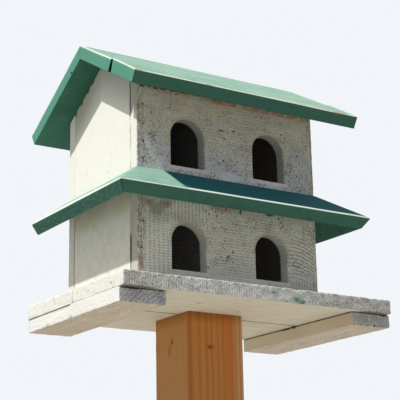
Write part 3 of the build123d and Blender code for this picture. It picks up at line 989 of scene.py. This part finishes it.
def profileStations(front, back, counts, look):
    # The board's closed section from its border round to the hole and back: rows of
    # (share of the way to the border, depth y, border inset, hole inset, reveal, inner face)
    corner, arris = look["cornerRadius"], entrance["arris"]
    turn = np.linspace(0, math.pi / 2, 5)
    rows = [(1, y, 0, 0, 0, 0) for y in np.linspace(back, front + corner, counts["edge"], endpoint=False)]
    rows += [(1, front + corner * (1 - math.sin(t)), corner * (1 - math.cos(t)), 0, 0, 0) for t in turn]
    rows += [(s, front, corner, arris, 0, 0) for s in np.linspace(1, 0, counts["face"], endpoint=False)[1:]]
    rows += [(0, front + arris * (1 - math.cos(t)), corner, arris * (1 - math.sin(t)), 0, 0) for t in turn]
    rows += [(0, y, 0, 0, 1, 0) for y in np.linspace(front + arris, back, counts["reveal"])[1:-1]]
    rows += [(s, back, 0, 0, 0, 1) for s in np.linspace(0, 1, counts["back"], endpoint=False)]
    return np.array(rows).T


def buildFrontWalls():
    look = {"layers": [((5, 5, 3.5), 0.18), ((2, 2, 2), 0.12)],
            "seed": 57, "chipping": 2.5, "chipReach": 1.8 * mm, "cornerRadius": 1.5 * mm}
    around = (92, 96, 92)               # lines across the sill, up a side, over the arch
    counts = {"edge": 8, "face": 46, "reveal": 12, "back": 10}
    for storey, sill in sills.items():
        node = "wall_front_" + storey
        low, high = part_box(node)
        share, depth, inset, holeInset, reveal, inner = profileStations(low.y, high.y, counts, look)
        straight = entrance["height"][storey] - entrance["half"]
        holeX, holeZ, wayX, wayZ = entranceLoop(around, straight)
        cells, values = [], []
        for side in (-1, 1):
            holeCentre = houseMiddle + side * entrance["spacing"] / 2
            rings = []
            for y, cut in zip(depth, inset):
                top = (roofUnder(y) if storey == "upper" else high.z) - cut
                ends = (low.x + cut, houseMiddle) if side < 0 else (houseMiddle, high.x - cut)
                rings.append(borderLoop(around, *ends, low.z + cut, top))
            border = np.array(rings)
            x = holeCentre + holeX + wayX * holeInset[:, None]
            z = sill + holeZ + wayZ * holeInset[:, None]
            s = share[:, None]
            x = x * (1 - s) + border[:, 0] * s
            z = z * (1 - s) + border[:, 1] * s
            y = np.broadcast_to(depth[:, None], x.shape)
            cells.append(np.stack([x, y, z], axis=-1).reshape(-1, 3))
            values.append(np.stack([np.repeat(mark, x.shape[1]) for mark in (reveal, inner)], axis=1))
        rowCount, loopCount = len(share), sum(around) + around[1]
        number = np.arange(rowCount * loopCount).reshape(rowCount, loopCount)
        beside = np.roll(number, -1, 1)
        corners = [number, beside, np.roll(beside, -1, 0), np.roll(number, -1, 0)]
        quads = np.stack([c.ravel() for c in corners], axis=1)
        quads = np.concatenate([quads, quads + rowCount * loopCount])
        points = np.concatenate(cells)
        values = np.concatenate(values)
        atSeam = np.abs(points[:, 0] - houseMiddle) < 1e-7     # the two cells are one board here
        quads = quads[~atSeam[quads].all(axis=1)]
        _, first, merged = np.unique(np.round(points, 7), axis=0, return_index=True, return_inverse=True)
        points, values, quads = points[first], values[first], merged.ravel()[quads]
        quads = facedOut(points, quads)
        across = np.abs(np.abs(points[:, 0] - houseMiddle) - entrance["spacing"] / 2)
        above = points[:, 2] - sill - straight
        toHole = np.where(above > 0, np.hypot(across, above) - entrance["half"],
                          np.maximum(across - entrance["half"], sill - points[:, 2]))
        toSide = np.minimum(points[:, 0] - low.x, high.x - points[:, 0])
        onFront = points[:, 1] < low.y + look["cornerRadius"]
        edge = np.where(onFront, np.minimum(np.abs(toHole), toSide), points[:, 1] - low.y)
        chips = 1 + look["chipping"] * np.exp(-np.maximum(edge, 0) / look["chipReach"])
        points = worn(points, quads, look, chips)
        onEnd = (toSide < 0.3 * mm) & (points[:, 1] > low.y + look["cornerRadius"])
        attributes = {"edgeDistance": np.maximum(edge, 0), "endGrain": onEnd,
                      "reveal": values[:, 0], "innerFace": values[:, 1]}
        makePiece(node, points, quads, attributes, frontPaint)


def buildSkirt():
    look = {"layers": [((40, 40, 20), 0.25)], "seed": 71, "chipping": 1.0, "chipReach": 2 * mm,
            "pitch": math.radians(35), "thickness": 19 * mm, "reach": 57.3 * mm, "arris": 2.5 * mm,
            "wallEdge": 0.6 * mm, "step": 5 * mm, "thinStep": 3 * mm}
    sin, cos, tan = math.sin(look["pitch"]), math.cos(look["pitch"]), math.tan(look["pitch"])
    reach, wide, thin = look["reach"], look["arris"], look["wallEdge"]
    top = span("skirt_front", 2)[1]
    back = span("skirt_left", 1)[1]
    slope = reach / cos
    for node in ("skirt_front", "skirt_left", "skirt_right"):
        isFront = node == "skirt_front"
        length = houseRight - houseLeft + 2 * reach if isFront else back - houseFront + reach
        size = (length, slope, look["thickness"])
        near = bendLines(thin)
        lines = [rule([0, length], [look["step"]], near, near),
                 rule([0, slope], [look["step"]], near, bendLines(wide)),
                 rule([0, size[2]], [look["thinStep"]], bendLines(wide), bendLines(wide))]

        def place(a, b, c):
            # Down the slope by b and into the board by c; the wall side is cut plumb and the
            # length is drawn out to the mitres
            b = b + c * tan * (1 - b / slope)
            out = b * cos - c * sin
            z = top - b * sin - c * cos
            if isFront:
                x = houseLeft - out + a / length * (houseRight - houseLeft + 2 * out)
                return x, houseFront - out, z
            y = houseFront - out + a / length * (back - houseFront + out)
            return (houseLeft - out if node == "skirt_left" else houseRight + out), y, z

        material = greenAlongX if isFront else greenAlongY
        hidden = {(1, 0): 0.8, (0, 0): 0.3} | ({(0, 1): 0.3} if isFront else {})
        makeBoard(node, size, lines, [[thin, thin], [wide, wide]], thin, place, look, material,
                  hidden=hidden)


def buildRoof():
    look = {"layers": [((60, 40, 20), 0.25)], "seed": 83, "chipping": 1.0, "chipReach": 2 * mm,
            "eaveArris": 2.5 * mm, "arris": 1.0 * mm, "step": 5 * mm, "seamWear": 1.6 * mm,
            "gapDepth": 3 * mm, "rise": 1.3 * mm, "opening": 4 * mm, "thinStep": 3 * mm}
    sin, cos = math.sin(roof["pitch"]), math.cos(roof["pitch"])
    arris, thickness = look["arris"], roof["thickness"]
    near = bendLines(arris)
    left, right = span("roof_back", 0)
    lowerStart = roof["upperWidth"] + roof["seam"] + look["seamWear"]
    boards = {"roof_back": (1, 0, roof["boardWidth"]), "roof_front_upper": (-1, 0, roof["upperWidth"]),
              "roof_front_lower": (-1, lowerStart, roof["boardWidth"] - lowerStart)}
    for node, (side, start, width) in boards.items():
        size = (right - left, width, thickness)
        eave = arris if node == "roof_front_upper" else look["eaveArris"]
        lines = [rule([0, size[0]], [look["step"]], near, near),
                 rule([0, width], [look["step"]], near, bendLines(arris, eave)),
                 rule([0, thickness], [look["thinStep"]], bendLines(arris, eave), near)]

        def place(a, b, c):
            # Down the slope from the ridge by b and into the board by c; the ridge is cut plumb, and
            # the lower board's outer face rises towards the seam, which opens downwards
            if node == "roof_front_lower":
                b = b + look["opening"] * c / thickness * (1 - b / width)
                c = c - look["rise"] * (1 - b / width) * (1 - c / thickness)
            plumb = c * roofSlope * (1 - b / width) if start == 0 else 0
            down = start + b + plumb
            return left + a, ridgeY + side * (down * cos - c * sin), ridgeTop - down * sin - c * cos

        hidden = {"roof_front_upper": {(1, 0): 0.3, (1, 1): 1.0}, "roof_front_lower": {(1, 0): 1.0}}
        makeBoard(node, size, lines, [[arris, arris], [eave, arris]], arris, place, look, greenAlongX,
                  hidden=hidden.get(node, {(1, 0): 0.3}))


buildPost()
buildPlatform()
buildCleats()
buildGables()
buildBackWalls()
buildFrontWalls()
buildSkirt()
buildRoof()


# Stage, light and camera

def buildStage():
    look = {"floorSide": 30.0, "floorColour": (0.41, 0.40, 0.375), "floorShade": (0.45, 0.44, 0.415),
            "floorRough": 0.9, "skyColour": (0.95, 0.98, 1.02), "skyLight": 0.34, "skySeen": 0.93,
            "sunFrom": (-0.539, -0.040, 0.841), "sunAngle": 1.2, "sunStrength": 3.8}
    edge = look["floorSide"] / 2
    mesh = bpy.data.meshes.new("floor")
    corners = [(-edge, -edge, 0), (edge, -edge, 0), (edge, edge, 0), (-edge, edge, 0)]
    mesh.from_pydata(corners, [], [(0, 1, 2, 3)])
    floor = bpy.data.objects.new("floor", mesh)
    bpy.context.scene.collection.objects.link(floor)
    material, place, *others = startMaterial("floor_paint")
    paint = material.node_tree.nodes["Principled BSDF"].inputs
    feed(paint["Base Color"], tint(noise(place, 300), look["floorColour"], look["floorShade"]))
    feed(paint["Roughness"], look["floorRough"])
    mesh.materials.append(material)

    world = bpy.data.worlds.new("studio")
    bpy.context.scene.world = world
    world.use_nodes = True
    background = world.node_tree.nodes["Background"]
    background.inputs["Color"].default_value = (*look["skyColour"], 1.0)
    path = addNode("LightPath", {}, world.node_tree)
    seen = most(path["Is Camera Ray"], path["Is Glossy Ray"], path["Is Transmission Ray"])
    feed(background.inputs["Strength"], seen * (look["skySeen"] - look["skyLight"]) + look["skyLight"])

    sun = bpy.data.lights.new("key", "SUN")
    sun.angle = math.radians(look["sunAngle"])
    sun.energy = look["sunStrength"]
    lamp = bpy.data.objects.new("key", sun)
    lamp.rotation_euler = Vector(look["sunFrom"]).to_track_quat("Z", "Y").to_euler()
    bpy.context.scene.collection.objects.link(lamp)


def buildCamera():
    look = {"place": (-0.9528, -1.4822, 1.5040), "yaw": 0.57445, "pitch": 0.27782, "roll": -0.01919,
            "lens": 111.66, "sensor": 36.0}
    yaw, pitch, roll = look["yaw"], look["pitch"], look["roll"]
    ahead = Vector((math.sin(yaw) * math.cos(pitch), math.cos(yaw) * math.cos(pitch), math.sin(pitch)))
    right = Vector((math.cos(yaw), -math.sin(yaw), 0))
    up = right.cross(ahead)
    across = right * math.cos(roll) + up * math.sin(roll)
    upright = up * math.cos(roll) - right * math.sin(roll)
    camera = bpy.data.objects.new("camera", bpy.data.cameras.new("camera"))
    camera.data.lens = look["lens"]
    camera.data.sensor_width = look["sensor"]
    turned = Matrix((across, upright, -ahead)).transposed()
    camera.matrix_world = Matrix.Translation(look["place"]) @ turned.to_4x4()
    bpy.context.scene.collection.objects.link(camera)
    bpy.context.scene.camera = camera


buildStage()
buildCamera()
bpy.context.scene.view_settings.view_transform = "Standard"
print("stage, light and camera ready")
